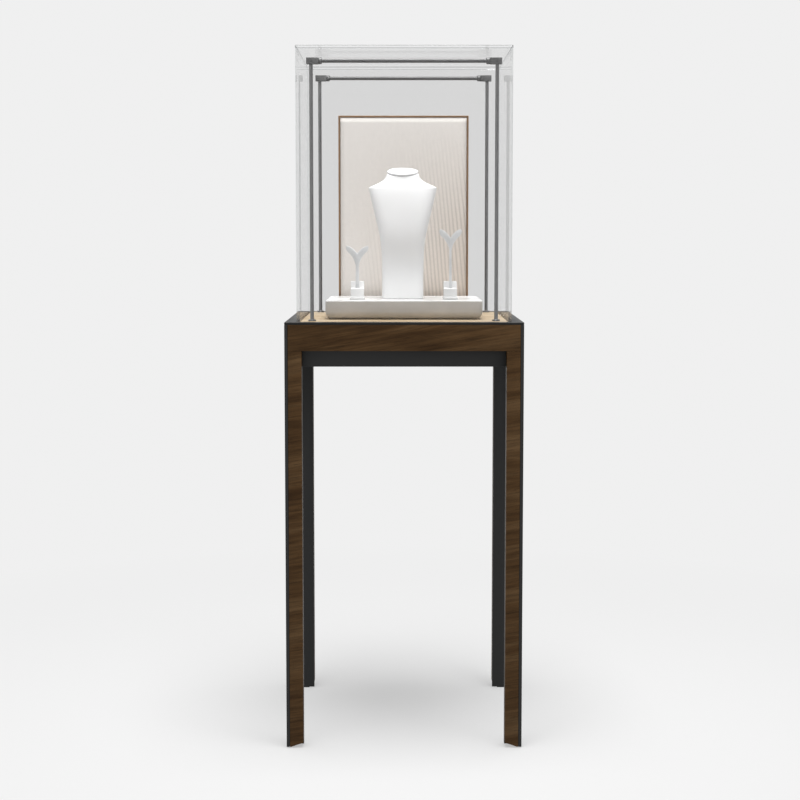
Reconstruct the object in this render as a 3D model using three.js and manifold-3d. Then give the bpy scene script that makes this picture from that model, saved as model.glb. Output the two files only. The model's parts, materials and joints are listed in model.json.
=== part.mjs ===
// A display plinth: a black steel and walnut table frame with a lift-off glass hood,
// two light bars on posts inside it, and its loose display fittings.
// Millimetres, +Z up, the customer's side faces -Y, origin under the middle of the plinth.
import * as THREE from "three";
import { mergeVertices } from "three/addons/utils/BufferGeometryUtils.js";
import Module from "manifold-3d";

// Driving dimensions
const WIDTH = 450; // plan, square
const TABLE_HEIGHT = 816; // floor to the table surface
const HOOD_RISE = 515.6; // table surface to the top of the glass
const GAP = 0.3; // clearance between pieces that touch

const LEG = 32; // leg section, square
const SIDE_PLATE = 6; // steel plate on the outer side of each leg
const FACING = 20.5; // walnut thickness on the front and back faces
const APRON_HEIGHT = 49.4;
const RAIL_DROP = 31; // how far the inner rails hang below the aprons
const RAIL_THICK = 20;
const FOOT_BEVEL_RISE = 9.6;
const FOOT_BEVEL_WIDTH = 23;
const GLIDE_HEIGHT = 1.5;

const TOP_PLATE = 4; // steel frame round the table surface
const GLASS = 6;
const HOOD_WIDTH = 406.4;
const GROOVE_DEPTH = 7.4; // the glass walls reach this far below the table surface
const DECK_THICK = 10;
const SUB_DECK_THICK = 12;
const GASKET_HEIGHT = 1.7;
const GASKET_INSET = 0.5;
const COVER_THICK = 2; // steel cover under the equipment space
const DRIVER_SIZE = [150, 46, 28];
const GLAND_RADIUS = 7;
const GLAND_LENGTH = 12;

const POST_SPREAD = 175; // light posts, from the middle, along X and Y
const POST_RADIUS = 3.5;
const FLANGE_RADIUS = 7.3;
const FLANGE_HEIGHT = 3;
const BAR_HEIGHT = 489; // light bar axis above the table surface
const BAR_RADIUS = 3.8;
const BLOCK_SIZE = 12.4; // end block section
const BLOCK_OUTBOARD = 8.8; // end block past the post axis
const BLOCK_LENGTH = 23;
const COLLAR_LENGTH = 6.5;
const COLLAR_RADIUS = 6.2;
const COLLAR_CHAMFER = 1.2;
const DIFFUSER_CHORD = 2.5; // the diffuser's flat, below the bar axis

const TRAY_SIZE = [304, 253, 36];
const TRAY_CORNER = 5; // plan radius
const TRAY_FOOT_RADIUS = 15; // rounding of the lower edge
const BUST_X = -2;
const NECK_Y = 6;
const BUST_RINGS = [
  // above the bust's foot, half width, front reach, back reach, middle in Y
  [0, 41.5, 35, 30, 0],
  [44, 41.5, 30.2, 28, 0],
  [70, 41.6, 30.4, 27.5, 0],
  [98, 42.8, 38.2, 28, 0],
  [128, 46.6, 43, 29, 0],
  [146, 50.8, 42.2, 30, 0],
  [168, 56.2, 39.4, 31, 0],
  [190, 61.4, 35.6, 32, 0],
  [207, 65.4, 31.6, 32, 0],
  [219.5, 68.4, 28, 31, 0],
  [224, 62, 27, 30, 1],
  [229, 50, 26, 28, 3],
  [235, 40, 25, 26, 5],
  [242, 34, 24, 25, NECK_Y],
  [262, 31, 22, 24, NECK_Y],
];
const BUST_RISE = 262; // tray surface to the highest point of the neck
const NECK_TILT = THREE.MathUtils.degToRad(17);
const NECK_CAP = { radius: 31, depth: 0.82, thick: 4 };
const STAND_SPREAD = 91.5;
const STAND_FRONT_Y = -71;
const STAND_PLATE = [29.4, 34, 5];
const STAND_BLOCK_WIDTH = 26;
const STAND_STEP = 22.4; // top of the block that holds the fork
const STAND_BACK = 35.5; // top of the block behind it
const STAND_STEP_DEPTH = 13.5;
const STAND_SLANT = 5; // how far the back block's face leans back
const STAND_LEDGE = { front: 2, back: 3 }; // base plate past the blocks
const STAND_CHAMFER = 1.5;
const SINK = 1; // blocks reach this far into the plate they are joined to
const FORK_THICK = 4;
const FORKS = {
  left: { rise: 105.5, notch: 90, stem: 7 },
  right: { rise: 138, notch: 121, stem: 5.4 },
};
const LEAF_REACH = 22.4;
const LEAF_DEPTH = 24; // from the notch down to where a leaf meets its stem
const PANEL_WIDTH = 271;
const PANEL_RISE = 410;
const PANEL_Y = 150;
const PANEL_THICK = 8;
const PANEL_RIM = 4;
const PANEL_RECESS = 5;
const PANEL_FOOT = [240, 40, 6];

// Levels and half widths worked out from them
const half = WIDTH / 2;
const table = TABLE_HEIGHT;
const plateUnderside = table - TOP_PLATE;
const glassFoot = table - GROOVE_DEPTH;
const hoodTop = table + HOOD_RISE;
const hoodHalf = HOOD_WIDTH / 2;
const deckHalf = hoodHalf - GLASS - GASKET_INSET;
const ringInner = hoodHalf + GASKET_INSET;
const legInner = half - LEG;
const woodOuter = half - SIDE_PLATE - GAP;
const woodBack = half - FACING;
const apronTop = plateUnderside - GAP;
const apronFoot = apronTop - APRON_HEIGHT;
const subDeckTop = table - DECK_THICK - GAP;
const subDeckFoot = subDeckTop - SUB_DECK_THICK;
const railTop = subDeckFoot - GAP;
const railFoot = apronFoot - RAIL_DROP;
const railSpan = legInner - GAP;
const postFoot = GLIDE_HEIGHT + GAP;
const barZ = table + BAR_HEIGHT;
const trayTop = table + GAP + TRAY_SIZE[2];

const wasm = await Module();
wasm.setup();
const plinth = new THREE.Group();

// Materials: each piece gets its own
const finish = (color, roughness, metalness = 0) => () =>
  new THREE.MeshStandardMaterial({ color, roughness, metalness });
const blackSteel = finish(0x2d2e2e, 0.55, 0.4);
const walnut = finish(0x443224, 0.6);
const oak = finish(0xd0b890, 0.55);
const brushedSteel = finish(0x8c8c8c, 0.3, 1);
const blackPlastic = finish(0x1c1c1c, 0.6);
const opal = finish(0xf4f2ea, 0.4);
const whiteLacquer = finish(0xeeeeec, 0.35);
const leatherette = finish(0xf1f1f1, 0.6);
const acrylic = finish(0xb9bcbf, 0.2);
const fabric = finish(0xd6d2cc, 0.9);
const bronze = finish(0x6c5b4b, 0.4, 0.8);
const glass = () =>
  new THREE.MeshStandardMaterial({ color: 0xdfe8e6, roughness: 0.02, transparent: true, opacity: 0.2 });

// Adds one named piece
function add(name, geometry, material) {
  const mesh = new THREE.Mesh(geometry, material());
  mesh.name = name;
  plinth.add(mesh);
  return mesh;
}

// A box between two corners given as ranges
function block([x0, x1], [y0, y1], [z0, z1]) {
  const geometry = new THREE.BoxGeometry(Math.abs(x1 - x0), Math.abs(y1 - y0), z1 - z0);
  return geometry.translate((x0 + x1) / 2, (y0 + y1) / 2, (z0 + z1) / 2);
}

// An outline in the XZ plane, extruded from y0 to y1
function extrudeY(points, y0, y1) {
  const shape = new THREE.Shape(points.map(([x, z]) => new THREE.Vector2(x, z)));
  const geometry = new THREE.ExtrudeGeometry(shape, { depth: Math.abs(y1 - y0), bevelEnabled: false });
  return geometry.rotateX(Math.PI / 2).translate(0, Math.max(y0, y1), 0);
}

// An outline in plan, extruded from z0 to z1
function extrudeZ(shape, z0, z1) {
  const settings = { depth: z1 - z0, bevelEnabled: false, curveSegments: 8 };
  return new THREE.ExtrudeGeometry(shape, settings).translate(0, 0, z0);
}

// A turned solid about Z from [radius, z] points, closed on the axis
function turned(profile, segments = 24) {
  const points = profile.map(([r, z]) => new THREE.Vector2(r, z));
  return new THREE.LatheGeometry(points, segments).rotateX(Math.PI / 2);
}

function solidOf(geometry) {
  const plain = geometry.clone();
  plain.deleteAttribute("normal");
  plain.deleteAttribute("uv");
  const merged = mergeVertices(plain, 1e-3);
  const vertProperties = new Float32Array(merged.attributes.position.array);
  const triVerts = new Uint32Array(merged.index.array);
  return new wasm.Manifold(new wasm.Mesh({ numProp: 3, vertProperties, triVerts }));
}

function geometryOf(solid) {
  const mesh = solid.getMesh();
  const geometry = new THREE.BufferGeometry();
  geometry.setAttribute("position", new THREE.BufferAttribute(mesh.vertProperties, 3));
  geometry.setIndex(new THREE.BufferAttribute(mesh.triVerts, 1));
  geometry.computeVertexNormals();
  return geometry;
}

const joined = (first, ...others) =>
  geometryOf(others.reduce((solid, geometry) => solid.add(solidOf(geometry)), solidOf(first)));
const cut = (first, ...others) =>
  geometryOf(others.reduce((solid, geometry) => solid.subtract(solidOf(geometry)), solidOf(first)));

// Each corner of the plinth, with its name and the signs of its X and Y
const corners = [
  ["front_left", -1, -1],
  ["front_right", 1, -1],
  ["back_left", -1, 1],
  ["back_right", 1, 1],
];
const ends = [
  ["front", -1],
  ["back", 1],
];
const sides = [
  ["left", -1],
  ["right", 1],
];

// Legs: a welded steel angle, a walnut facing in it, and a glide under it
function addLegs() {
  for (const [name, sx, sy] of corners) {
    const plateX = [sx * (half - SIDE_PLATE), sx * half];
    const plate = block(plateX, [sy * legInner, sy * half], [postFoot, apronTop]);
    const web = block(
      [sx * legInner, sx * (half - SIDE_PLATE / 2)],
      [sy * legInner, sy * (woodBack - GAP)],
      [postFoot, railTop],
    );
    add(`leg_post_${name}`, joined(plate, web), blackSteel);

    const bevelEnd = legInner + FOOT_BEVEL_WIDTH;
    const middle = (legInner + bevelEnd) / 2;
    const facing = [
      [sx * woodOuter, postFoot],
      [sx * woodOuter, apronFoot - GAP],
      [sx * legInner, apronFoot - GAP],
      [sx * legInner, FOOT_BEVEL_RISE],
      [sx * middle, FOOT_BEVEL_RISE * 0.62],
      [sx * bevelEnd, postFoot],
    ];
    add(`leg_facing_${name}`, extrudeY(facing, sy * woodBack, sy * half), walnut);

    const glideX = [sx * (legInner + LEG / 3), sx * (half - 1)];
    const glideY = [sy * (legInner + 1), sy * (woodBack - 1)];
    add(`glide_${name}`, block(glideX, glideY, [0, GLIDE_HEIGHT]), blackPlastic);
  }
}

// Walnut aprons at the front and back, steel plates at the sides, and the rails behind them
function addAprons() {
  for (const [name, sy] of ends) {
    const apron = block([-woodOuter, woodOuter], [sy * woodBack, sy * half], [apronFoot, apronTop]);
    add(`apron_${name}`, apron, walnut);
    const railOuter = woodBack - GAP;
    const railY = [sy * (railOuter - RAIL_THICK), sy * railOuter];
    const rail = block([-railSpan, railSpan], railY, [railFoot, railTop]);
    add(`rail_${name}`, rail, blackSteel);
  }
  for (const [name, sx] of sides) {
    const plate = block([sx * (half - SIDE_PLATE), sx * half], [-railSpan, railSpan], [apronFoot, apronTop]);
    add(`apron_${name}`, plate, blackSteel);
    const railOuter = half - SIDE_PLATE - GAP;
    const length = woodBack - RAIL_THICK - 2 * GAP;
    const railX = [sx * (railOuter - RAIL_THICK), sx * railOuter];
    const rail = block(railX, [-length, length], [railFoot, railTop]);
    add(`rail_${name}`, rail, blackSteel);
  }
}

// The steel frame round the table surface: four flat bars with mitred corners
function addTopFrame() {
  const mitreGap = GAP / 2;
  for (const [name, turns] of [["front", 0], ["right", 1], ["back", 2], ["left", 3]]) {
    const outline = new THREE.Shape([
      new THREE.Vector2(-half + mitreGap, -half),
      new THREE.Vector2(half - mitreGap, -half),
      new THREE.Vector2(ringInner - mitreGap, -ringInner),
      new THREE.Vector2(-ringInner + mitreGap, -ringInner),
    ]);
    const bar = extrudeZ(outline, plateUnderside, table).rotateZ((turns * Math.PI) / 2);
    add(`top_frame_${name}`, bar, blackSteel);
  }
}

// Deck, the board under it, the gasket that the glass stands on, and the equipment space
function addDeck() {
  const square = (size) => [-size, size];
  add("deck", block(square(deckHalf), square(deckHalf), [table - DECK_THICK, table]), oak);
  const board = ringInner;
  add("sub_deck", block(square(board), square(board), [subDeckFoot, subDeckTop]), blackPlastic);

  const gasketZ = [subDeckTop + GAP, subDeckTop + GAP + GASKET_HEIGHT];
  const outer = block(square(hoodHalf), square(hoodHalf), gasketZ);
  const hole = deckHalf + GAP;
  const inner = block(square(hole), square(hole), [gasketZ[0] - 1, gasketZ[1] + 1]);
  add("hood_gasket", cut(outer, inner), blackPlastic);

  const insideX = half - SIDE_PLATE - RAIL_THICK - 2 * GAP;
  const insideY = woodBack - RAIL_THICK - 2 * GAP;
  const cover = block(square(insideX), square(insideY), [railFoot, railFoot + COVER_THICK]);
  add("service_cover", cover, blackSteel);
  const [dx, dy, dz] = DRIVER_SIZE;
  const driverFoot = railFoot + COVER_THICK + GAP;
  const driver = block([-dx / 2, dx / 2], [-dy / 2, dy / 2], [driverFoot, driverFoot + dz]);
  add("light_driver", driver, blackPlastic);

  const gland = turned([
    [0, -GLAND_LENGTH],
    [GLAND_RADIUS * 0.7, -GLAND_LENGTH],
    [GLAND_RADIUS, -GLAND_LENGTH * 0.6],
    [GLAND_RADIUS, 0],
    [0, 0],
  ]);
  add("cable_gland", gland.translate(insideX * 0.6, insideY * 0.75, railFoot - GAP), blackPlastic);
}

// The glass hood: four walls standing in the groove and a top lying on them
function addHood() {
  const wallZ = [glassFoot, hoodTop - GLASS - GAP];
  const inner = hoodHalf - GLASS;
  for (const [name, sy] of ends)
    add(`glass_${name}`, block([-hoodHalf, hoodHalf], [sy * inner, sy * hoodHalf], wallZ), glass);
  for (const [name, sx] of sides)
    add(`glass_${name}`, block([sx * inner, sx * hoodHalf], [-(inner - GAP), inner - GAP], wallZ), glass);
  add("glass_top", block([-hoodHalf, hoodHalf], [-hoodHalf, hoodHalf], [hoodTop - GLASS, hoodTop]), glass);
}

// Points on a circle in the YZ plane, from one angle to another in degrees
function arc(radius, from, to, steps) {
  return Array.from({ length: steps + 1 }, (_, i) => {
    const angle = THREE.MathUtils.degToRad(from + ((to - from) * i) / steps);
    return new THREE.Vector2(radius * Math.cos(angle), radius * Math.sin(angle));
  });
}

// A section in the YZ plane, extruded along X over its length, centred on the origin
function extrudeX(points, length) {
  const geometry = new THREE.ExtrudeGeometry(new THREE.Shape(points), { depth: length, bevelEnabled: false });
  return geometry.rotateX(Math.PI / 2).rotateZ(Math.PI / 2).translate(-length / 2, 0, 0);
}

// Two light frames: a pair of posts, the blocks on them, and a bar that turns between the blocks
function addLights() {
  const blockInner = POST_SPREAD + BLOCK_OUTBOARD - BLOCK_LENGTH;
  const barHalf = blockInner - GAP;
  const tubeHalf = barHalf - COLLAR_LENGTH;
  const chordAngle = THREE.MathUtils.radToDeg(Math.asin(DIFFUSER_CHORD / BAR_RADIUS));
  const lipAngle = THREE.MathUtils.radToDeg(Math.asin((DIFFUSER_CHORD + GAP) / BAR_RADIUS));
  for (const [name, sx, sy] of corners) {
    const post = turned([
      [0, table + GAP],
      [FLANGE_RADIUS, table + GAP],
      [FLANGE_RADIUS, table + GAP + FLANGE_HEIGHT - 1],
      [FLANGE_RADIUS - 1, table + GAP + FLANGE_HEIGHT],
      [POST_RADIUS, table + GAP + FLANGE_HEIGHT],
      [POST_RADIUS, barZ - BLOCK_SIZE / 2 - GAP],
      [0, barZ - BLOCK_SIZE / 2 - GAP],
    ]);
    add(`light_post_${name}`, post.translate(sx * POST_SPREAD, sy * POST_SPREAD, 0), brushedSteel);
    const endBlock = block(
      [sx * blockInner, sx * (POST_SPREAD + BLOCK_OUTBOARD)],
      [sy * POST_SPREAD - BLOCK_SIZE / 2, sy * POST_SPREAD + BLOCK_SIZE / 2],
      [barZ - BLOCK_SIZE / 2, barZ + BLOCK_SIZE / 2],
    );
    add(`end_block_${name}`, endBlock, brushedSteel);
  }
  for (const [name, sy] of ends) {
    const tube = extrudeX(arc(BAR_RADIUS, -chordAngle, 180 + chordAngle, 18), 2 * tubeHalf + 1);
    const collars = sides.map(([, sx]) =>
      turned([
        [0, 0],
        [COLLAR_RADIUS, 0],
        [COLLAR_RADIUS, COLLAR_LENGTH - COLLAR_CHAMFER],
        [COLLAR_RADIUS - COLLAR_CHAMFER, COLLAR_LENGTH],
        [0, COLLAR_LENGTH],
      ])
        .rotateY((-sx * Math.PI) / 2)
        .translate(sx * barHalf, 0, 0),
    );
    const bar = joined(tube, ...collars).translate(0, sy * POST_SPREAD, barZ);
    add(`light_bar_${name}`, bar, brushedSteel);
    const strip = extrudeX(arc(BAR_RADIUS, 180 + lipAngle, 360 - lipAngle, 10), 2 * (tubeHalf - GAP));
    add(`diffuser_${name}`, strip.translate(0, sy * POST_SPREAD, barZ), opal);
  }
}

// A rounded rectangle in plan
function roundedRectangle(width, depth, radius) {
  const [x, y] = [width / 2, depth / 2];
  const shape = new THREE.Shape();
  shape.moveTo(-x + radius, -y);
  shape.lineTo(x - radius, -y);
  shape.absarc(x - radius, -y + radius, radius, -Math.PI / 2, 0);
  shape.lineTo(x, y - radius);
  shape.absarc(x - radius, y - radius, radius, 0, Math.PI / 2);
  shape.lineTo(-x + radius, y);
  shape.absarc(-x + radius, y - radius, radius, Math.PI / 2, Math.PI);
  shape.lineTo(-x, -y + radius);
  shape.absarc(-x + radius, -y + radius, radius, Math.PI, 1.5 * Math.PI);
  return shape;
}

// A solid through level rings, each [z, half width, front reach, back reach, middle y]
function lofted(rings, segments = 28) {
  const positions = [];
  const index = [];
  for (const [z, width, front, back, y] of rings)
    for (let i = 0; i < segments; i++) {
      const angle = (2 * Math.PI * i) / segments;
      const reach = Math.sin(angle) < 0 ? front : back;
      positions.push(width * Math.cos(angle), y + reach * Math.sin(angle), z);
    }
  const last = (rings.length - 1) * segments;
  for (let ring = 0; ring < last; ring += segments)
    for (let i = 0; i < segments; i++) {
      const next = (i + 1) % segments;
      index.push(ring + i, ring + next, ring + segments + next);
      index.push(ring + i, ring + segments + next, ring + segments + i);
    }
  for (let i = 1; i < segments - 1; i++) {
    index.push(0, i + 1, i);
    index.push(last, last + i, last + i + 1);
  }
  const geometry = new THREE.BufferGeometry();
  geometry.setAttribute("position", new THREE.Float32BufferAttribute(positions, 3));
  geometry.setIndex(index);
  geometry.computeVertexNormals();
  return geometry;
}

// The white riser, with its lower edge rounded off
function addTray() {
  const [width, depth] = TRAY_SIZE;
  const steps = 6;
  const layers = Array.from({ length: steps }, (_, i) => {
    const angle = (Math.PI / 2) * ((i + 0.5) / steps);
    const inset = TRAY_FOOT_RADIUS * (1 - Math.sin(angle));
    const z0 = TRAY_FOOT_RADIUS * (1 - Math.cos((Math.PI / 2) * (i / steps)));
    const z1 = TRAY_FOOT_RADIUS * (1 - Math.cos((Math.PI / 2) * ((i + 1) / steps)));
    const shape = roundedRectangle(width - 2 * inset, depth - 2 * inset, TRAY_CORNER);
    return extrudeZ(shape, table + GAP + z0, table + GAP + z1 + 0.01);
  });
  const body = extrudeZ(roundedRectangle(width, depth, TRAY_CORNER), table + GAP + TRAY_FOOT_RADIUS, trayTop);
  add("tray", joined(body, ...layers), whiteLacquer);
}

// The necklace bust: a body narrow at the waist, and a tilted cap on its neck
function addBust() {
  const foot = trayTop + GAP;
  const rings = BUST_RINGS.map(([rise, ...reaches]) => [foot + rise, ...reaches]);
  const body = lofted(rings).translate(BUST_X, 0, 0);
  const { radius, depth, thick } = NECK_CAP;
  const capDrop = radius * depth * Math.sin(NECK_TILT) + thick / 2;
  const capCentre = [BUST_X, NECK_Y, trayTop + BUST_RISE - capDrop];
  const reach = 2 * radius;
  const above = block([-reach, reach], [-reach, reach], [-thick / 2 - GAP, reach]);
  above.rotateX(NECK_TILT).translate(...capCentre);
  add("bust_body", cut(body, above), leatherette);
  const cap = new THREE.CylinderGeometry(radius, radius, thick, 28).rotateX(Math.PI / 2);
  cap.scale(1, depth, 1).rotateX(NECK_TILT).translate(...capCentre);
  add("bust_neck_cap", cap, leatherette);
}

// The outline of one earring fork, in XZ about its foot: a stem that opens into two blunt leaves.
// The curves' inner points are drawn by eye, as shares of the leaf.
function forkShape(rise, notch, stem) {
  const edge = stem / 2;
  const shape = new THREE.Shape();
  shape.moveTo(-edge, 0);
  shape.lineTo(edge, 0);
  shape.lineTo(edge * 0.85, notch - LEAF_DEPTH);
  shape.quadraticCurveTo(edge + 2.5, notch - LEAF_DEPTH * 0.35, LEAF_REACH * 0.7, notch + 1);
  shape.quadraticCurveTo(LEAF_REACH * 0.95, notch + 5, LEAF_REACH, rise - 4);
  shape.lineTo(LEAF_REACH - 1.5, rise);
  shape.quadraticCurveTo(LEAF_REACH * 0.4, rise - 2, 0, notch);
  shape.quadraticCurveTo(-LEAF_REACH * 0.4, rise - 2, 1.5 - LEAF_REACH, rise);
  shape.lineTo(-LEAF_REACH, rise - 4);
  shape.quadraticCurveTo(-LEAF_REACH * 0.95, notch + 5, -LEAF_REACH * 0.7, notch + 1);
  shape.quadraticCurveTo(-edge - 2.5, notch - LEAF_DEPTH * 0.35, -edge * 0.85, notch - LEAF_DEPTH);
  return shape;
}

// Two earring stands: a stepped foot, and a fork standing in its lower step
function addStands() {
  const foot = trayTop + GAP;
  const [plateWidth, plateDepth, plateHeight] = STAND_PLATE;
  const stepFront = STAND_FRONT_Y + STAND_LEDGE.front;
  const stepBack = stepFront + STAND_STEP_DEPTH;
  const blockBack = STAND_FRONT_Y + plateDepth - STAND_LEDGE.back;
  const profile = [
    [stepFront, foot + plateHeight - SINK],
    [blockBack, foot + plateHeight - SINK],
    [blockBack, foot + STAND_BACK],
    [stepBack + STAND_SLANT, foot + STAND_BACK],
    [stepBack, foot + STAND_STEP],
    [stepFront + STAND_CHAMFER, foot + STAND_STEP],
    [stepFront, foot + STAND_STEP - STAND_CHAMFER],
  ].map(([y, z]) => new THREE.Vector2(y, z));
  for (const [name, sx] of sides) {
    const x = sx * STAND_SPREAD;
    const { rise, notch, stem } = FORKS[name];
    const plateX = [x - plateWidth / 2, x + plateWidth / 2];
    const plate = block(plateX, [STAND_FRONT_Y, STAND_FRONT_Y + plateDepth], [foot, foot + plateHeight]);
    const blocks = extrudeX(profile, STAND_BLOCK_WIDTH).translate(x, 0, 0);
    add(`stand_foot_${name}`, joined(plate, blocks), whiteLacquer);
    const base = STAND_STEP + GAP;
    const outline = forkShape(rise - base, notch - base, stem);
    const settings = { depth: FORK_THICK, bevelEnabled: false, curveSegments: 6 };
    const fork = new THREE.ExtrudeGeometry(outline, settings);
    const forkY = (stepFront + stepBack + FORK_THICK) / 2;
    add(`stand_fork_${name}`, fork.rotateX(Math.PI / 2).translate(x, forkY, foot + base), acrylic);
  }
}

// The upright panel at the back: a fabric board set in a rimmed bronze plate, on a foot
function addPanel() {
  const [footWidth, footDepth, footHeight] = PANEL_FOOT;
  const footTop = table + GAP + footHeight;
  const panelTop = table + PANEL_RISE;
  const side = PANEL_WIDTH / 2;
  const front = PANEL_Y - PANEL_THICK / 2;
  const back = PANEL_Y + PANEL_THICK / 2;
  const footY = [front, front + footDepth];
  add("panel_foot", block([-footWidth / 2, footWidth / 2], footY, [table + GAP, footTop]), bronze);
  const inner = side - PANEL_RIM;
  const bottom = footTop + GAP;
  const recessZ = [bottom + PANEL_RIM, panelTop - PANEL_RIM];
  const recess = block([-inner, inner], [front - 1, front + PANEL_RECESS], recessZ);
  const plate = block([-side, side], [front, back], [bottom, panelTop]);
  add("panel_frame", cut(plate, recess), bronze);
  const boardX = inner - GAP;
  const boardZ = [bottom + PANEL_RIM + GAP, panelTop - PANEL_RIM - GAP];
  add("panel_board", block([-boardX, boardX], [front + GAP, front + PANEL_RECESS - GAP], boardZ), fabric);
}

addLegs();
addAprons();
addTopFrame();
addDeck();
addHood();
addLights();
addTray();
addBust();
addStands();
addPanel();

export default plinth;
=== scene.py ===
"""The looks of the glass-hooded display plinth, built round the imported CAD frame.
Metres, +Z up, and the front faces -Y."""
import json
import math

import bmesh
import bpy
from mathutils import Matrix, Vector


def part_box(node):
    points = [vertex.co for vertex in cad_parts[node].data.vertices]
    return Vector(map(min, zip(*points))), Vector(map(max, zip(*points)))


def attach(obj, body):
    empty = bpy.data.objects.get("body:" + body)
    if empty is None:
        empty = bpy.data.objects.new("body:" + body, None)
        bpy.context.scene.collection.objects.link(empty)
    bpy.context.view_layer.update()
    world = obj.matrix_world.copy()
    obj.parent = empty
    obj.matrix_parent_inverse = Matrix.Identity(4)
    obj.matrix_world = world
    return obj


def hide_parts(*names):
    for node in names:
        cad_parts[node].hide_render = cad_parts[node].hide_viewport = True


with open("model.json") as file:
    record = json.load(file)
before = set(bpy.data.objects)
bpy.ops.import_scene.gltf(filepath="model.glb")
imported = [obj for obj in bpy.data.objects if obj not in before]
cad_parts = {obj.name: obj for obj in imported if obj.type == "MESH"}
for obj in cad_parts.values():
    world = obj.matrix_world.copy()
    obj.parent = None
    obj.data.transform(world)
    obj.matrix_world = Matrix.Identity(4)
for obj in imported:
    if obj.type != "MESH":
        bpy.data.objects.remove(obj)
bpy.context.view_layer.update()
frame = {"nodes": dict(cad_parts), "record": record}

MM = 0.001
WELD = 0.01 * MM
CORNERS = [("front_left", -1, -1), ("front_right", 1, -1), ("back_left", -1, 1), ("back_right", 1, 1)]
ENDS = [("front", -1), ("back", 1)]
SIDES = [("left", -1), ("right", 1)]
BODY_OF = {node: body for body, nodes in frame["record"]["behaviour"]["bodies"].items() for node in nodes}

# Edge rounding of the pieces that keep a CAD node's shape
PLAIN_EDGE = 0.5 * MM
WOOD_EDGE = 0.7 * MM
FINE_EDGE = 0.3 * MM
BOARD_EDGE = 0.4 * MM
SOFT_EDGE = 0.6 * MM
BLOCK_EDGE = 0.8 * MM
LACQUER_EDGE = 0.9 * MM
BAR_EDGE = 0.25 * MM
DIFFUSER_EDGE = 0.15 * MM
POST_EDGE = 0.15 * MM
MOULDED_EDGE = 2 * MM
ARRIS = 1.0 * MM

# Camera and light
CAMERA_AT = (-0.0132, -3.2841, 0.9842)
CAMERA_PITCH = math.radians(5.02)
CAMERA_TURN = math.radians(-0.1)
CAMERA_LENS = 73.56
CAMERA_SHIFT_Y = -0.03
FLOOR_REACH = 30
FLOOR_FADE = (0.2, 1.8)
FLOOR_GLOW = 0.45
FLOOR_TONE = 0.81
BACKDROP = 0.87
ROOM_LIGHT = 0.42

# Bust sections in mm above its foot:
# (height, half width, front reach, back reach, squareness, share of the neck's lean)
BUST_SECTIONS = [
    (0, 41.3, 35.2, 30, 5.0, 0),
    (3, 41.5, 35.0, 30, 5.0, 0),
    (25, 41.4, 32.2, 29, 5.0, 0),
    (44, 41.4, 30.2, 28, 5.0, 0),
    (58, 41.5, 29.6, 27.5, 5.0, 0),
    (70, 41.6, 30.4, 27.5, 5.0, 0),
    (84, 42.0, 33.8, 27.5, 5.0, 0),
    (98, 42.8, 38.2, 28, 4.8, 0),
    (112, 44.0, 41.6, 28, 4.6, 0),
    (128, 46.6, 43.0, 29, 4.2, 0),
    (146, 50.8, 42.2, 30, 3.9, 0),
    (168, 56.2, 39.4, 31, 3.4, 0),
    (190, 61.4, 35.6, 32, 3.0, 0),
    (207, 65.4, 31.6, 32, 2.6, 0),
    (216, 67.4, 28.8, 31.5, 2.4, 0),
    (219.5, 68.4, 27.6, 31, 2.3, 0),
    (222, 65.8, 26.7, 30.5, 2.25, 0.04),
    (227.5, 53.6, 24.6, 29.8, 2.15, 0.15),
    (232.5, 43.4, 22.4, 29.4, 2.1, 0.35),
    (237.5, 37.0, 20.2, 29.2, 2.05, 0.6),
    (243, 33.8, 18.4, 29.0, 2.0, 0.85),
    (249.4, 31.4, 16.6, 28.6, 2.0, 1.0),
]
SHOULDER_RING = 15
BUST_SEGMENTS = 64
NECK_LEAN = math.radians(17)
NECK_MIDDLE = 6 * MM
CAP_DEPTH = 0.82
CREASE_ENDS = 0.9
CREASE_SHOULDER = 0.75
CREASE_FROM = 0.6

# Other fittings
POST_ROD = 3.5 * MM
TRAY_ROLL = 15 * MM
TRAY_CRISP = 1.2 * MM
TRAY_CORNER = 5 * MM
ROLL_STEPS = 10
CRISP_STEPS = 5
CORNER_STEPS = 6
PANEL_CROWN = 0.35 * MM
PANEL_CELLS = (24, 36)
# How fast the panel's face rises from its side edges, and from its foot and top against that
PANEL_RISE = 14
PANEL_FOOT_SHARE = 9
PANEL_TOP_SHARE = 1.5

# Colours, linear
WALNUT_TONES = ((0.044, 0.0215, 0.0075), (0.076, 0.040, 0.0155), (0.116, 0.068, 0.0310))
OAK_TONES = ((0.44, 0.31, 0.165), (0.54, 0.415, 0.265), (0.62, 0.50, 0.35))
ROD_GREY = (0.20, 0.20, 0.20)
BAR_GREY = (0.16, 0.16, 0.16)
SCREW_GREY = (0.09, 0.09, 0.09)

# The ribs of the back panel's cloth lean a little
RIB_SLANT = math.radians(6)

# How much the panes mirror, as a share of plain glass
COATING = 0.16
SIDE_MIRROR = 0.5


# ---------------------------------------------------------------- materials


def new_material(name, slot):
    """A material with its Principled shader, and the record's slot that it belongs to."""
    material = bpy.data.materials.new(name)
    material.use_nodes = True
    material["record_slot"] = slot
    tree = material.node_tree
    return material, tree, tree.nodes["Principled BSDF"]


def add_node(tree, kind, inputs=None, **settings):
    """Adds a node. inputs maps a socket's name or number to a value, or to the socket that feeds it."""
    made = tree.nodes.new(kind)
    for key, value in settings.items():
        setattr(made, key, value)
    for key, value in (inputs or {}).items():
        if isinstance(value, bpy.types.NodeSocket):
            tree.links.new(value, made.inputs[key])
        else:
            made.inputs[key].default_value = value
    return made


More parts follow.
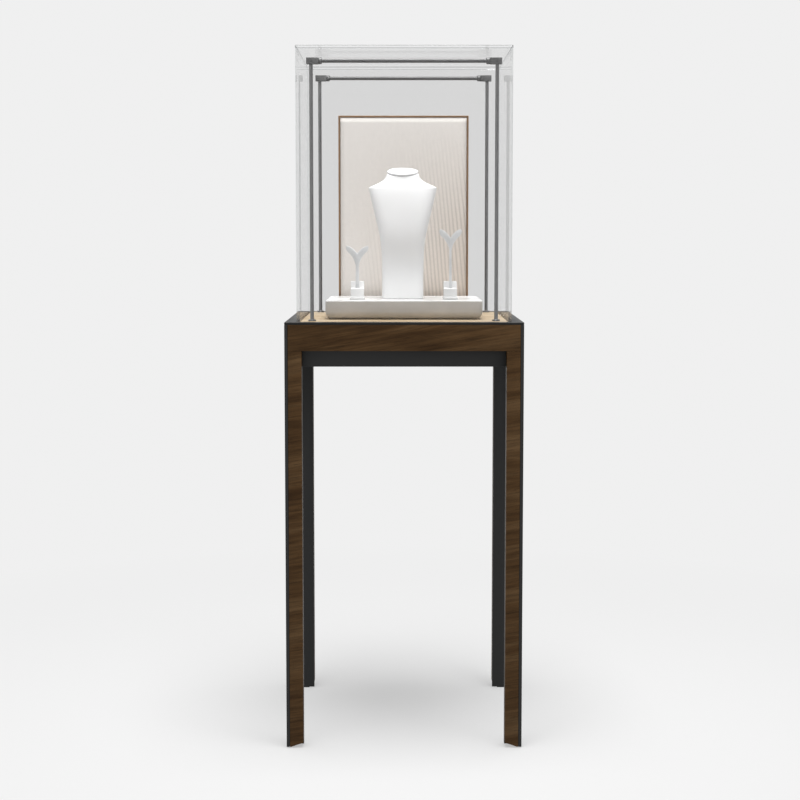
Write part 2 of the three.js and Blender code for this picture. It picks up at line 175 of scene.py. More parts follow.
def place(tree, scale=(1, 1, 1), turn=(0, 0, 0)):
    """The point on the object in metres, turned and then scaled."""
    point = add_node(tree, "ShaderNodeTexCoord").outputs["Object"]
    turned = add_node(tree, "ShaderNodeMapping", {"Vector": point, "Rotation": turn}).outputs[0]
    return add_node(tree, "ShaderNodeMapping", {"Vector": turned, "Scale": scale}).outputs[0]


def noise(tree, vector, scale=1.0, detail=4.0, roughness=0.5, distortion=0.0):
    inputs = {"Vector": vector, "Scale": scale, "Detail": detail}
    inputs.update({"Roughness": roughness, "Distortion": distortion})
    return add_node(tree, "ShaderNodeTexNoise", inputs).outputs["Fac"]


def ramp(tree, factor, stops):
    """A colour ramp from (position, colour) stops; a grey stop may be one number."""
    made = add_node(tree, "ShaderNodeValToRGB", {"Fac": factor})
    elements = made.color_ramp.elements
    while len(elements) < len(stops):
        elements.new(0.5)
    for element, (position, colour) in zip(elements, stops):
        element.position = position
        element.color = (*colour, 1) if isinstance(colour, tuple) else (colour, colour, colour, 1)
    return made.outputs["Color"]


def mix(tree, factor, first, second, blend="MIX"):
    inputs = {0: factor, 6: first, 7: second}
    return add_node(tree, "ShaderNodeMix", inputs, data_type="RGBA", blend_type=blend).outputs[2]


def bump(tree, shader, height, distance, strength=1.0, under=None):
    inputs = {"Height": height, "Distance": distance, "Strength": strength}
    if under is not None:
        inputs["Normal"] = under
    made = add_node(tree, "ShaderNodeBump", inputs)
    tree.links.new(made.outputs[0], shader.inputs["Normal"])
    return made.outputs[0]


def wood(name, slot, tones, slant, rough, grain_bump, sheen):
    """Wood with its grain along X, slanted a little, long darker figure and fine open pores."""
    material, tree, shader = new_material(name, slot)
    turn = (0, slant, 0)
    broad = noise(tree, place(tree, (2.2, 14, 26), turn), 1.0, 5, 0.55, 1.2)
    streaks = noise(tree, place(tree, (7, 120, 190), turn), 1.0, 6, 0.6, 0.6)
    pores = noise(tree, place(tree, (45, 900, 1400), turn), 1.0, 2, 0.5)
    low, middle, high = tones
    figure = ramp(tree, broad, [(0.3, low), (0.5, middle), (0.7, high)])
    veins = ramp(tree, streaks, [(0.32, 0.62), (0.55, 1.0), (0.75, 1.14)])
    pore_mask = ramp(tree, pores, [(0.34, 0.55), (0.43, 1.0)])
    colour = mix(tree, 1.0, figure, veins, "MULTIPLY")
    colour = mix(tree, 0.8, colour, pore_mask, "MULTIPLY")
    tree.links.new(colour, shader.inputs["Base Color"])
    gloss = ramp(tree, streaks, [(0.3, rough + 0.1), (0.7, rough - 0.06)])
    tree.links.new(gloss, shader.inputs["Roughness"])
    shader.inputs["Specular IOR Level"].default_value = sheen
    under = bump(tree, shader, streaks, 0.0003, grain_bump)
    bump(tree, shader, pore_mask, 0.0002, grain_bump, under)
    return material


def coated(name, slot, colour, rough, grain, depth, metallic=0.0, wear=0.0, shine=0.5):
    """A coated or moulded surface: a fine orange-peel grain, uneven gloss and slightly worn edges."""
    material, tree, shader = new_material(name, slot)
    fine = noise(tree, place(tree), grain, 3, 0.5)
    cloudy = noise(tree, place(tree), 9, 4, 0.6)
    darker = tuple(c * 0.9 for c in colour)
    lighter = tuple(min(1.0, c * 1.1) for c in colour)
    shade = ramp(tree, cloudy, [(0.35, darker), (0.65, lighter)])
    if wear:
        pointy = add_node(tree, "ShaderNodeNewGeometry").outputs["Pointiness"]
        edges = ramp(tree, pointy, [(0.52, 0.0), (0.6, wear)])
        shade = mix(tree, edges, shade, (*[min(1.0, c * 3 + 0.03) for c in colour], 1))
    tree.links.new(shade, shader.inputs["Base Color"])
    gloss = ramp(tree, cloudy, [(0.3, rough - 0.05), (0.7, rough + 0.06)])
    tree.links.new(gloss, shader.inputs["Roughness"])
    shader.inputs["Metallic"].default_value = metallic
    shader.inputs["Specular IOR Level"].default_value = shine
    bump(tree, shader, fine, depth, 0.5)
    return material


def brushed(name, slot, colour, rough, lines):
    """Satin metal with fine brushing; lines scales the noise, small along the brushing."""
    material, tree, shader = new_material(name, slot)
    scratches = noise(tree, place(tree, lines), 1.0, 3, 0.6)
    cloudy = noise(tree, place(tree), 14, 3, 0.5)
    darker = tuple(c * 0.82 for c in colour)
    lighter = tuple(min(1.0, c * 1.15) for c in colour)
    shade = ramp(tree, scratches, [(0.35, darker), (0.65, lighter)])
    tree.links.new(shade, shader.inputs["Base Color"])
    gloss = ramp(tree, cloudy, [(0.3, rough - 0.04), (0.7, rough + 0.06)])
    tree.links.new(gloss, shader.inputs["Roughness"])
    shader.inputs["Metallic"].default_value = 1.0
    bump(tree, shader, scratches, 0.00006, 0.4)
    return material


def leatherette(name, slot):
    """White leatherette: a pebbled grain of small cells with soft valleys, which are painted a little
    darker as painted shade.
    """
    material, tree, shader = new_material(name, slot)
    point = place(tree)
    warped = mix(tree, 0.004, point, noise(tree, point, 60, 3), "ADD")
    cells = add_node(tree, "ShaderNodeTexVoronoi", {"Vector": warped, "Scale": 900}, feature="F1")
    grain = ramp(tree, cells.outputs["Distance"], [(0.1, 1.0), (0.75, 0.0)])
    cloudy = noise(tree, point, 16, 4, 0.55)
    shade = ramp(tree, cloudy, [(0.3, (0.87, 0.87, 0.87)), (0.7, (0.915, 0.915, 0.915))])
    # painted shade: the valleys between the cells are painted 3% darker
    valley_shade = ramp(tree, grain, [(0.0, 0.97), (0.5, 1.0)])
    tree.links.new(mix(tree, 1.0, shade, valley_shade, "MULTIPLY"), shader.inputs["Base Color"])
    tree.links.new(ramp(tree, cloudy, [(0.3, 0.5), (0.7, 0.6)]), shader.inputs["Roughness"])
    bump(tree, shader, grain, 0.00006, 0.3)
    return material


def panel_fabric(name, slot):
    """A pale ribbed cloth over a fine slubby weave. Painted shade makes it darker and warmer towards its
    lower right, and there it paints shadows between the ribs, which also stand out more.
    """
    material, tree, shader = new_material(name, slot)
    point = place(tree)
    axes = add_node(tree, "ShaderNodeSeparateXYZ", {"Vector": point})
    wobble = noise(tree, place(tree, (6, 1, 1.5)), 1.0, 2, 0.4)
    ribs_at = place(tree, turn=(0, RIB_SLANT, 0))
    bent = mix(tree, 0.02, ribs_at, wobble, "ADD")
    wave = {"Vector": bent, "Scale": 39, "Distortion": 0.0}
    ribs = add_node(tree, "ShaderNodeTexWave", wave, wave_type="BANDS", bands_direction="X").outputs["Fac"]
    threads_across = noise(tree, place(tree, (160, 160, 2200)), 1.0, 2, 0.5)
    threads_up = noise(tree, place(tree, (2200, 160, 90)), 1.0, 2, 0.5)
    weave = mix(tree, 0.5, threads_across, threads_up)
    # painted shade: the cloth is painted darker and warmer towards its right side and its foot
    side_inputs = {"Value": axes.outputs["X"], "From Min": -0.12, "From Max": 0.13}
    side = add_node(tree, "ShaderNodeMapRange", side_inputs).outputs[0]
    low_inputs = {"Value": axes.outputs["Z"], "From Min": 1.22, "From Max": 0.85}
    low = add_node(tree, "ShaderNodeMapRange", low_inputs).outputs[0]
    painted_shade_share = add_node(tree, "ShaderNodeMath", {0: side, 1: low}, operation="MULTIPLY").outputs[0]
    tone = mix(tree, painted_shade_share, (0.77, 0.735, 0.70, 1), (0.68, 0.59, 0.51, 1))
    # painted shadow between the ribs, stronger where the painted shade is stronger
    shadow = ramp(tree, ribs, [(0.1, 0.80), (0.6, 1.0)])
    strength = ramp(tree, painted_shade_share, [(0.06, 0.0), (0.5, 1.0)])
    tone = mix(tree, strength, tone, mix(tree, 1, tone, shadow, "MULTIPLY"))
    threads = ramp(tree, weave, [(0.35, 0.93), (0.6, 1.03)])
    tree.links.new(mix(tree, 1, tone, threads, "MULTIPLY"), shader.inputs["Base Color"])
    shader.inputs["Roughness"].default_value = 0.85
    shader.inputs["Sheen Weight"].default_value = 0.25
    raised = add_node(tree, "ShaderNodeMath", {0: ribs, 1: strength}, operation="MULTIPLY").outputs[0]
    under = bump(tree, shader, raised, 0.0005, 0.5)
    bump(tree, shader, weave, 0.00010, 0.5, under)
    return material


def thin_glass(name, slot, tint, haze, mirror_share=COATING):
    """Coated museum glass that bends nothing: it mirrors weakly by angle, tints a little, and has a trace
    of haze. Lamps shine straight through it, so that what it covers stays lit."""
    material, tree, shader = new_material(name, slot)
    tree.nodes.remove(shader)
    smears = noise(tree, place(tree), 5, 4, 0.6)
    film = ramp(tree, smears, [(0.45, haze * 0.6), (0.8, haze * 1.4)])
    through = add_node(tree, "ShaderNodeBsdfTransparent", {"Color": (*tint, 1)}).outputs[0]
    dust = add_node(tree, "ShaderNodeBsdfDiffuse", {"Color": (0.76, 0.76, 0.76, 1)}).outputs[0]
    body = add_node(tree, "ShaderNodeMixShader", {0: film, 1: through, 2: dust}).outputs[0]
    mirror = add_node(tree, "ShaderNodeBsdfGlossy", {"Color": (1, 1, 1, 1), "Roughness": 0.0}).outputs[0]
    angle = add_node(tree, "ShaderNodeFresnel", {"IOR": 1.45}).outputs[0]
    weak = add_node(tree, "ShaderNodeMath", {0: angle, 1: mirror_share}, operation="MULTIPLY").outputs[0]
    pane = add_node(tree, "ShaderNodeMixShader", {0: weak, 1: body, 2: mirror}).outputs[0]
    clear = add_node(tree, "ShaderNodeBsdfTransparent").outputs[0]
    lamp = add_node(tree, "ShaderNodeLightPath").outputs["Is Shadow Ray"]
    surface = add_node(tree, "ShaderNodeMixShader", {0: lamp, 1: pane, 2: clear}).outputs[0]
    tree.links.new(surface, tree.nodes["Material Output"].inputs["Surface"])
    return material


def frosted(name, slot):
    """Frosted acrylic: milky, and it lets some light through."""
    material, tree, shader = new_material(name, slot)
    cloudy = noise(tree, place(tree), 40, 4, 0.6)
    shade = ramp(tree, cloudy, [(0.3, (0.66, 0.67, 0.68)), (0.7, (0.74, 0.75, 0.76))])
    tree.links.new(shade, shader.inputs["Base Color"])
    tree.links.new(ramp(tree, cloudy, [(0.3, 0.22), (0.7, 0.34)]), shader.inputs["Roughness"])
    shader.inputs["Subsurface Weight"].default_value = 0.4
    shader.inputs["Subsurface Scale"].default_value = 0.004
    shader.inputs["Subsurface Radius"].default_value = (1, 1, 1)
    bump(tree, shader, noise(tree, place(tree), 900, 2), 0.00005, 0.4)
    return material


MATERIALS = {
    "walnut": wood(
        "walnut", "walnut", WALNUT_TONES, slant=math.radians(9), rough=0.55, grain_bump=0.5, sheen=0.08
    ),
    "oak": wood("oak", "oak", OAK_TONES, slant=0.0, rough=0.5, grain_bump=0.35, sheen=0.4),
    # After the slot: colour, roughness, fineness of the grain, depth of the grain
    "black_steel": coated(
        "black_steel", "black_steel", (0.009, 0.009, 0.0088), 0.45, 1500, 0.0001, wear=0.3, shine=0.18
    ),
    "black_board": coated("black_board", "black_board", (0.012, 0.012, 0.012), 0.6, 900, 0.0001),
    "glide_nylon": coated("glide_nylon", "glide_nylon", (0.012, 0.012, 0.012), 0.5, 1200, 0.00008),
    "gasket_rubber": coated("gasket_rubber", "gasket_rubber", (0.010, 0.010, 0.010), 0.7, 900, 0.0001),
    "black_plastic": coated("black_plastic", "black_plastic", (0.014, 0.014, 0.014), 0.45, 1600, 0.0001),
    "white_lacquer": coated("white_lacquer", "white_lacquer", (0.81, 0.81, 0.805), 0.24, 260, 0.00004),
    "stand_white": coated("stand_white", "white_lacquer", (0.74, 0.74, 0.735), 0.24, 260, 0.00004),
    # the same white lacquer painted grey: painted shade for the tray's sides
    "tray_side_shaded": coated("tray_side_shaded", "white_lacquer", (0.50, 0.49, 0.475), 0.3, 260, 0.00004),
    "opal_diffuser": coated("opal_diffuser", "opal_diffuser", (0.19, 0.19, 0.187), 0.45, 900, 0.00003),
    "bronze": coated("bronze", "bronze", (0.22, 0.135, 0.075), 0.36, 1100, 0.00005, metallic=0.6, wear=0.2),
    "brushed_steel": brushed("brushed_steel", "brushed_steel", ROD_GREY, rough=0.4, lines=(900, 900, 40)),
    "brushed_bar": brushed("brushed_bar", "brushed_steel", BAR_GREY, rough=0.55, lines=(40, 900, 900)),
    "screw_steel": brushed("screw_steel", "black_steel", SCREW_GREY, rough=0.4, lines=(300, 300, 300)),
    "leatherette": leatherette("leatherette", "leatherette"),
    "panel_fabric": panel_fabric("panel_fabric", "panel_fabric"),
    "frosted_acrylic": frosted("frosted_acrylic", "frosted_acrylic"),
    # After the slot: tint, haze
    "clear_glass": thin_glass("clear_glass", "clear_glass", (0.938, 0.938, 0.938), 0.004),
    "side_glass": thin_glass("side_glass", "clear_glass", (0.98, 0.98, 0.98), 0.001, SIDE_MIRROR),
    "top_glass": thin_glass("top_glass", "clear_glass", (0.98, 0.98, 0.98), 0.001),
    "glass_edge": thin_glass("glass_edge", "clear_glass", (0.95, 0.955, 0.955), 0.03),
    # a dark tint on the top pane's arrises: a painted dark line standing in for the refraction and
    # reflection at a glass edge
    "glass_arris_painted_line": thin_glass("glass_arris_painted_line", "clear_glass", (0.42, 0.43, 0.43), 0.05),
}


# ---------------------------------------------------------------- making pieces


def finish_piece(obj, material, body, nodes=()):
    """Gives a piece its material, its body, and the CAD nodes that it stands for."""
    if not obj.data.materials:
        obj.data.materials.append(MATERIALS[material])
    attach(obj, body)
    if nodes:
        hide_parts(*nodes)
    return obj


def mesh_piece(name, made):
    """A new object from a bmesh, which is then freed."""
    mesh = bpy.data.meshes.new(name)
    bmesh.ops.recalc_face_normals(made, faces=made.faces)
    made.to_mesh(mesh)
    made.free()
    obj = bpy.data.objects.new(name, mesh)
    bpy.context.scene.collection.objects.link(obj)
    return obj


def shade_smooth(obj):
    for polygon in obj.data.polygons:
        polygon.use_smooth = True


def soften(obj, width, segments=3):
    """Rounds the edges of a hard piece, and keeps its faces looking flat between them."""
    shade_smooth(obj)
    bevel = obj.modifiers.new("edges", "BEVEL")
    bevel.width = width
    bevel.segments = segments
    bevel.limit_method = "ANGLE"
    bevel.angle_limit = math.radians(40)
    bevel.harden_normals = True
    return obj


def whole_faces(node):
    """A bmesh of a CAD node, with its points welded and its flat faces made whole."""
    made = bmesh.new()
    made.from_mesh(frame["nodes"][node].data)
    bmesh.ops.remove_doubles(made, verts=made.verts, dist=WELD)
    bmesh.ops.dissolve_limit(made, angle_limit=math.radians(1), verts=made.verts, edges=made.edges)
    return made


def refined(node, material, width, segments=3):
    """The same solid as a CAD node, with its edges rounded."""
    obj = mesh_piece(f"{node}_fine", whole_faces(node))
    soften(obj, width, segments)
    return finish_piece(obj, material, BODY_OF[node], [node])


AXIS_TURNS = {
    "X": Matrix.Rotation(math.pi / 2, 4, "Y"),
    "Y": Matrix.Rotation(-math.pi / 2, 4, "X"),
    "Z": Matrix.Identity(4),
}


def circle(made, radius, height, segments):
    angles = [2 * math.pi * i / segments for i in range(segments)]
    return [made.verts.new((radius * math.cos(a), radius * math.sin(a), height)) for a in angles]


def bridge(made, rings):
    """Joins each ring of points to the next with quads. The rings have the same number of points."""
    for lower, upper in zip(rings, rings[1:]):
        for i in range(len(lower)):
            j = (i + 1) % len(lower)
            made.faces.new([lower[i], lower[j], upper[j], upper[i]])
    made.faces.new(rings[0])
    made.faces.new(rings[-1])


def turned_piece(name, profile, segments, axis="Z", at=(0, 0, 0)):
    """A solid of revolution from (radius, height) points; its ends lie on the axis."""
    made = bmesh.new()
    rings = []
    for radius, height in profile:
        if radius == 0:
            rings.append([made.verts.new((0, 0, height))])
        else:
            rings.append(circle(made, radius, height, segments))
    for lower, upper in zip(rings, rings[1:]):
        for i in range(segments):
            j = (i + 1) % segments
            below = [lower[i % len(lower)], lower[j % len(lower)]]
            above = [upper[j % len(upper)], upper[i % len(upper)]]
            made.faces.new(list(dict.fromkeys(below + above)))
    made.transform(Matrix.Translation(at) @ AXIS_TURNS[axis])
    obj = mesh_piece(name, made)
    shade_smooth(obj)
    return obj


def socket_screw(name, at, axis, body, radius, sign):
    """A small cap screw with a hexagonal socket, its head facing along the axis, or against it where sign
    is negative."""
    made = bmesh.new()
    outline = 36
    head, chamfer, floor = 1.2 * MM, 0.9 * MM, 0.4 * MM
    rim, socket = radius * 0.88, radius * 0.5
    profile = ((radius, 0), (radius, chamfer), (rim, head))
    rings = [circle(made, r, h, outline) for r, h in profile]
    sector = math.pi / 3
    for depth in (head, floor):
        ring = []
        for i in range(outline):
            angle = 2 * math.pi * i / outline
            facet = socket * math.cos(sector / 2) / math.cos(angle % sector - sector / 2)
            ring.append(made.verts.new((facet * math.cos(angle), facet * math.sin(angle), depth)))
        rings.append(ring)
    bridge(made, rings)
    flip = Matrix.Identity(4) if sign > 0 else Matrix.Rotation(math.pi, 4, "X" if axis == "Z" else "Z")
    made.transform(Matrix.Translation(at) @ flip @ AXIS_TURNS[axis])
    return finish_piece(mesh_piece(name, made), "screw_steel", body)


# ---------------------------------------------------------------- the table


def build_table():
    steel = [f"leg_post_{name}" for name, _, _ in CORNERS]
    steel += [f"top_frame_{name}" for name, _ in ENDS + SIDES]
    steel += [f"rail_{name}" for name, _ in ENDS + SIDES]
    steel += [f"apron_{name}" for name, _ in SIDES] + ["service_cover"]
    for node in steel:
        refined(node, "black_steel", PLAIN_EDGE)
    for name, _, _ in CORNERS:
        refined(f"leg_facing_{name}", "walnut", WOOD_EDGE)
        refined(f"glide_{name}", "glide_nylon", FINE_EDGE)
    for name, _ in ENDS:
        refined(f"apron_{name}", "walnut", WOOD_EDGE)
    refined("deck", "oak", PLAIN_EDGE)
    refined("sub_deck", "black_board", BOARD_EDGE)
    refined("hood_gasket", "gasket_rubber", FINE_EDGE)
    refined("light_driver", "black_plastic", MOULDED_EDGE)
    refined("cable_gland", "black_plastic", PLAIN_EDGE)
    low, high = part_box("service_cover")
    inset = 12 * MM
    for i, x in enumerate((low.x + inset, 0.0, high.x - inset)):
        for j, y in enumerate((low.y + inset, high.y - inset)):
            socket_screw(f"cover_screw_{i}{j}", (x, y, low.z), "Z", "plinth", 3.2 * MM, -1)


# ---------------------------------------------------------------- the hood


def build_hood():
    """Each pane with polished edges and small arrises. The front and back panes carry the glass colour, so
    that the side and top panes stay clear when they are seen at a slant."""
    panes = {"glass_front": "clear_glass", "glass_back": "clear_glass", "glass_top": "top_glass"}
    panes.update({f"glass_{name}": "side_glass" for name, _ in SIDES})
    for node, face in panes.items():
        made = whole_faces(node)
        bmesh.ops.bevel(made, geom=made.edges[:], offset=ARRIS, segments=1, affect="EDGES", profile=0.5)
        obj = mesh_piece(f"{node}_fine", made)
        # the top pane's arrises get the painted dark edge line
        arris = "glass_arris_painted_line" if node == "glass_top" else "glass_edge"
        for material in (face, "glass_edge", arris):
            obj.data.materials.append(MATERIALS[material])
        # Material 0 is for the two wide faces, 1 for the polished edges and 2 for the arrises
        widest = max(polygon.area for polygon in obj.data.polygons)
        for polygon in obj.data.polygons:
            square = max(abs(part) for part in polygon.normal) > 0.99
            polygon.material_index = 0 if polygon.area > widest * 0.5 else 1 if square else 2
        finish_piece(obj, face, "hood", [node])


# ---------------------------------------------------------------- the lights


def build_lights():
    """Slim posts on low round flanges, their end blocks with screws, and the two bars between them."""
    for name, sx, sy in CORNERS:
        low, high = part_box(f"light_post_{name}")
        x, y = (low.x + high.x) / 2, (low.y + high.y) / 2
        flange = (high.x - low.x) / 2
        profile = [
            (0, low.z),
            (flange, low.z),
            (flange, low.z + 2.2 * MM),
            (flange - 0.3 * MM, low.z + 2.7 * MM),
            (flange - 0.9 * MM, low.z + 3.0 * MM),
            (POST_ROD + 0.8 * MM, low.z + 3.0 * MM),
            (POST_ROD + 0.2 * MM, low.z + 3.3 * MM),
            (POST_ROD, low.z + 3.9 * MM),
            (POST_ROD, high.z),
            (0, high.z),
        ]
        post = turned_piece(f"light_post_{name}_fine", profile, 48, "Z", (x, y, 0))
        soften(post, POST_EDGE, 2)
        finish_piece(post, "brushed_steel", "plinth", [f"light_post_{name}"])
        refined(f"end_block_{name}", "brushed_bar", BLOCK_EDGE)
        low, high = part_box(f"end_block_{name}")
        outer = high.x if sx > 0 else low.x
        middle = ((low.y + high.y) / 2, (low.z + high.z) / 2)
        socket_screw(f"end_screw_{name}", (outer - sx * 1.0 * MM, *middle), "X", "plinth", 2.6 * MM, sx)
        face = high.y if sy > 0 else low.y
        at = (x, face - sy * 0.9 * MM, middle[1])
        socket_screw(f"clamp_screw_{name}", at, "Y", "plinth", 1.9 * MM, sy)
    for name, _ in ENDS:
        refined(f"light_bar_{name}", "brushed_bar", BAR_EDGE, 2)
        refined(f"diffuser_{name}", "opal_diffuser", DIFFUSER_EDGE, 2)


# ---------------------------------------------------------------- the display fittings


def build_tray():
    """The riser: a white top with crisp rounded edges, and sides that roll under. The sides carry the same
    white lacquer painted grey, as painted shade.
    """
    low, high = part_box("tray")
    height = high.z - low.z
    levels = []
    for step in range(ROLL_STEPS + 1):
        angle = math.pi / 2 * step / ROLL_STEPS
        levels.append((TRAY_ROLL * (1 - math.sin(angle)), TRAY_ROLL * (1 - math.cos(angle))))
    for step in range(CRISP_STEPS + 1):
        angle = math.pi / 2 * step / CRISP_STEPS
        levels.append((TRAY_CRISP * (1 - math.cos(angle)), height - TRAY_CRISP * (1 - math.sin(angle))))
    made = bmesh.new()
    rings = []
    for inset, z in levels:
        x = high.x - inset - TRAY_CORNER
        y = high.y - inset - TRAY_CORNER
        ring = []
        for quarter, (cx, cy) in enumerate([(1, 1), (-1, 1), (-1, -1), (1, -1)]):
            for step in range(CORNER_STEPS + 1):
                angle = math.pi / 2 * (quarter + step / CORNER_STEPS)
                px = cx * x + TRAY_CORNER * math.cos(angle)
                py = cy * y + TRAY_CORNER * math.sin(angle)
                ring.append(made.verts.new((px, py, low.z + z)))
        rings.append(ring)
    bridge(made, rings)
    obj = mesh_piece("tray_fine", made)
    for material in ("tray_side_shaded", "white_lacquer"):
        obj.data.materials.append(MATERIALS[material])
    for polygon in obj.data.polygons:
        polygon.use_smooth = len(polygon.vertices) == 4
        # faces that look up keep the white lacquer; all other faces get it painted grey, as painted shade
        polygon.material_index = 1 if polygon.normal.z > 0.5 else 0
    finish_piece(obj, "white_lacquer", "plinth", ["tray"])


def squared_ring(made, z, width, front, back, square, lean, middle):
    """One ring of the bust: a superellipse, fuller as square grows, with its own front and back reach."""
    ring = []
    for i in range(BUST_SEGMENTS):
        angle = 2 * math.pi * i / BUST_SEGMENTS
        c, s = math.cos(angle), math.sin(angle)
        x = math.copysign(abs(c) ** (2 / square), c) * width
        y = math.copysign(abs(s) ** (2 / square), s) * (front if s < 0 else back)
        rise = lean * math.sin(NECK_LEAN) * (y - NECK_MIDDLE)
        ring.append(made.verts.new((middle + x, y, z + rise)))
    return ring


def build_bust():
    low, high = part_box("bust_body")
    x = (low.x + high.x) / 2
    made = bmesh.new()
    rings = []
    for height, width, front, back, square, lean in BUST_SECTIONS:
        reach = (width * MM, front * MM, back * MM)
        rings.append(squared_ring(made, low.z + height * MM, *reach, square, lean, x))
    bridge(made, rings)
    body = mesh_piece("bust_body_fine", made)
    shade_smooth(body)
    crease = body.data.attributes.new("crease_edge", "FLOAT", "EDGE")
    for edge in body.data.edges:
        first, second = (vertex // BUST_SEGMENTS for vertex in edge.vertices)
        if first != second:
            continue
        if first in (0, len(BUST_SECTIONS) - 1):
            crease.data[edge.index].value = CREASE_ENDS
        elif first == SHOULDER_RING:
            out = abs(body.data.vertices[edge.vertices[0]].co.x - x) / (BUST_SECTIONS[first][1] * MM)
            share = max(0.0, out - CREASE_FROM) / (1 - CREASE_FROM)
            crease.data[edge.index].value = CREASE_SHOULDER * share
    smooth = body.modifiers.new("smooth", "SUBSURF")
    smooth.render_levels = 2
    smooth.levels = 2
    finish_piece(body, "leatherette", "bust", ["bust_body"])

    low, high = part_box("bust_neck_cap")
    centre = (low + high) / 2
    radius = (high.x - low.x) / 2
    profile = [
        (0, -2.0 * MM),
        (radius - 3.4 * MM, -2.0 * MM),
        (radius - 0.6 * MM, -1.6 * MM),
        (radius, -0.6 * MM),
        (radius, 0.5 * MM),
        (radius - 0.5 * MM, 1.4 * MM),
        (radius - 1.6 * MM, 1.9 * MM),
        (radius - 6 * MM, 2.0 * MM),
        (0, 2.0 * MM),
    ]
    cap = turned_piece("bust_cap_fine", profile, 96)
    lean = Matrix.Rotation(NECK_LEAN, 4, "X")
    cap.data.transform(Matrix.Translation(centre) @ lean @ Matrix.Diagonal((1, CAP_DEPTH, 1, 1)))
    finish_piece(cap, "leatherette", "bust", ["bust_neck_cap"])


def build_stands():
    for name, _ in SIDES:
        refined(f"stand_foot_{name}", "stand_white", LACQUER_EDGE)
        refined(f"stand_fork_{name}", "frosted_acrylic", SOFT_EDGE)


def build_panel():
    """The bronze parts, and a padded cloth board whose face falls away a little at its edges."""
    refined("panel_frame", "bronze", PLAIN_EDGE)
    refined("panel_foot", "bronze", SOFT_EDGE)
    low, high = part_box("panel_board")
    made = bmesh.new()
    across, up = PANEL_CELLS
    width, height = high.x - low.x, high.z - low.z
    grid = []
    for j in range(up + 1):
        row = []
        for i in range(across + 1):
            u, v = i / across, j / up
            inward = min(u, 1 - u, v * PANEL_FOOT_SHARE, (1 - v) * PANEL_TOP_SHARE)
            drop = PANEL_CROWN * max(0.0, 1 - inward * PANEL_RISE) ** 2
            row.append(made.verts.new((low.x + u * width, low.y + drop, low.z + v * height)))
        grid.append(row)
    for j in range(up):
        for i in range(across):
            made.faces.new([grid[j][i], grid[j][i + 1], grid[j + 1][i + 1], grid[j + 1][i]])
    right, left = [row[-1] for row in grid], [row[0] for row in grid]
    border = grid[0][:-1] + right[:-1] + grid[-1][:0:-1] + left[:0:-1]
    back = [made.verts.new((vertex.co.x, high.y, vertex.co.z)) for vertex in border]
    for i in range(len(border)):
        j = (i + 1) % len(border)
        made.faces.new([border[i], border[j], back[j], back[i]])
    made.faces.new(back)
    obj = mesh_piece("panel_board_fine", made)
    for polygon in obj.data.polygons:
        polygon.use_smooth = len(polygon.vertices) == 4
    finish_piece(obj, "panel_fabric", "plinth", ["panel_board"])


# ---------------------------------------------------------------- floor, light and camera


def build_floor():
    """A pale floor that fades into the backdrop away from the plinth."""
    mesh = bpy.data.meshes.new("floor")
    made = bmesh.new()
    around = ((-1, -1), (1, -1), (1, 1), (-1, 1))
    made.faces.new([made.verts.new((sx * FLOOR_REACH, sy * FLOOR_REACH, 0)) for sx, sy in around])
    made.to_mesh(mesh)
    made.free()
    floor = bpy.data.objects.new("floor", mesh)
    bpy.context.scene.collection.objects.link(floor)
    material = bpy.data.materials.new("floor")
    material.use_nodes = True
    tree = material.node_tree
    shader = tree.nodes["Principled BSDF"]
    shader.inputs["Base Color"].default_value = (FLOOR_TONE, FLOOR_TONE, FLOOR_TONE, 1)
    shader.inputs["Roughness"].default_value = 0.9
    length = add_node(tree, "ShaderNodeVectorMath", {0: place(tree)}, operation="LENGTH").outputs["Value"]
    near, far = FLOOR_FADE
    fade = {"Value": length, "From Min": near, "From Max": far, "To Min": FLOOR_GLOW}
    share = add_node(tree, "ShaderNodeMapRange", fade).outputs[0]
    glow = add_node(tree, "ShaderNodeEmission", {"Color": (BACKDROP, BACKDROP, BACKDROP, 1)}).outputs[0]
    surface = add_node(tree, "ShaderNodeMixShader", {0: share, 1: shader.outputs[0], 2: glow}).outputs[0]
    tree.links.new(surface, tree.nodes["Material Output"].inputs["Surface"])
    floor.data.materials.append(material)


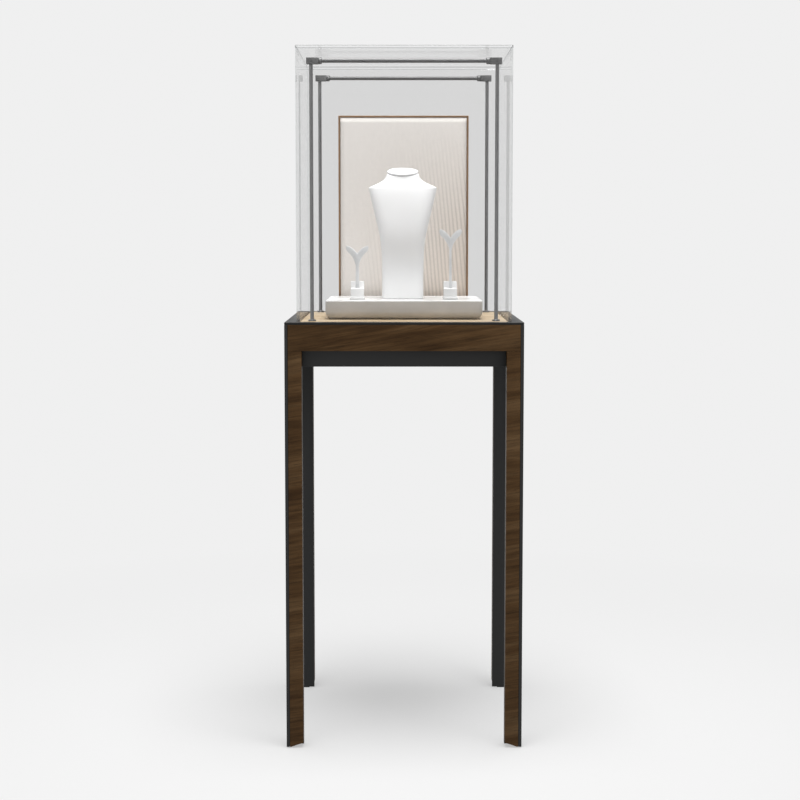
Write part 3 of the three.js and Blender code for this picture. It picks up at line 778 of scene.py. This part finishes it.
def add_lamp(name, at, aim, size, power):
    lamp = bpy.data.lights.new(name, "AREA")
    lamp.shape = "SQUARE"
    lamp.size = size
    lamp.energy = power
    obj = bpy.data.objects.new(name, lamp)
    obj.location = at
    obj.rotation_euler = (Vector(aim) - Vector(at)).to_track_quat("-Z", "Y").to_euler()
    bpy.context.scene.collection.objects.link(obj)


def build_light_and_camera():
    """Two soft lamps in a white room that looks brighter than it lights, and the photo's viewpoint."""
    scene = bpy.context.scene
    world = bpy.data.worlds.new("studio")
    world.use_nodes = True
    scene.world = world
    tree = world.node_tree
    path = add_node(tree, "ShaderNodeLightPath").outputs
    rays = {0: path["Is Camera Ray"], 1: path["Is Glossy Ray"]}
    seen = add_node(tree, "ShaderNodeMath", rays, operation="MAXIMUM").outputs[0]
    strength_inputs = {"Value": seen, "To Min": ROOM_LIGHT, "To Max": BACKDROP}
    strength = add_node(tree, "ShaderNodeMapRange", strength_inputs).outputs[0]
    background = tree.nodes["Background"]
    background.inputs["Color"].default_value = (1, 1, 1, 1)
    tree.links.new(strength, background.inputs["Strength"])
    add_lamp("overhead", at=(0.1, -0.5, 3.6), aim=(0, 0, 1.0), size=1.8, power=112)
    add_lamp("front_left", at=(-2.2, -2.8, 2.6), aim=(0, 0, 0.8), size=1.6, power=10)
    camera = bpy.data.cameras.new("camera")
    camera.lens = CAMERA_LENS
    camera.sensor_width = 36
    camera.shift_y = CAMERA_SHIFT_Y
    camera.clip_end = 100
    obj = bpy.data.objects.new("camera", camera)
    obj.location = CAMERA_AT
    obj.rotation_euler = (math.pi / 2 - CAMERA_PITCH, 0, CAMERA_TURN)
    scene.collection.objects.link(obj)
    scene.camera = obj
    scene.view_settings.view_transform = "Standard"
    scene.view_settings.look = "None"
    scene.cycles.max_bounces = 16
    scene.cycles.transmission_bounces = 14
    scene.cycles.transparent_max_bounces = 24
    scene.cycles.use_denoising = True


build_light_and_camera()
build_table()
build_hood()
build_lights()
build_tray()
build_bust()
build_stands()
build_panel()
build_floor()
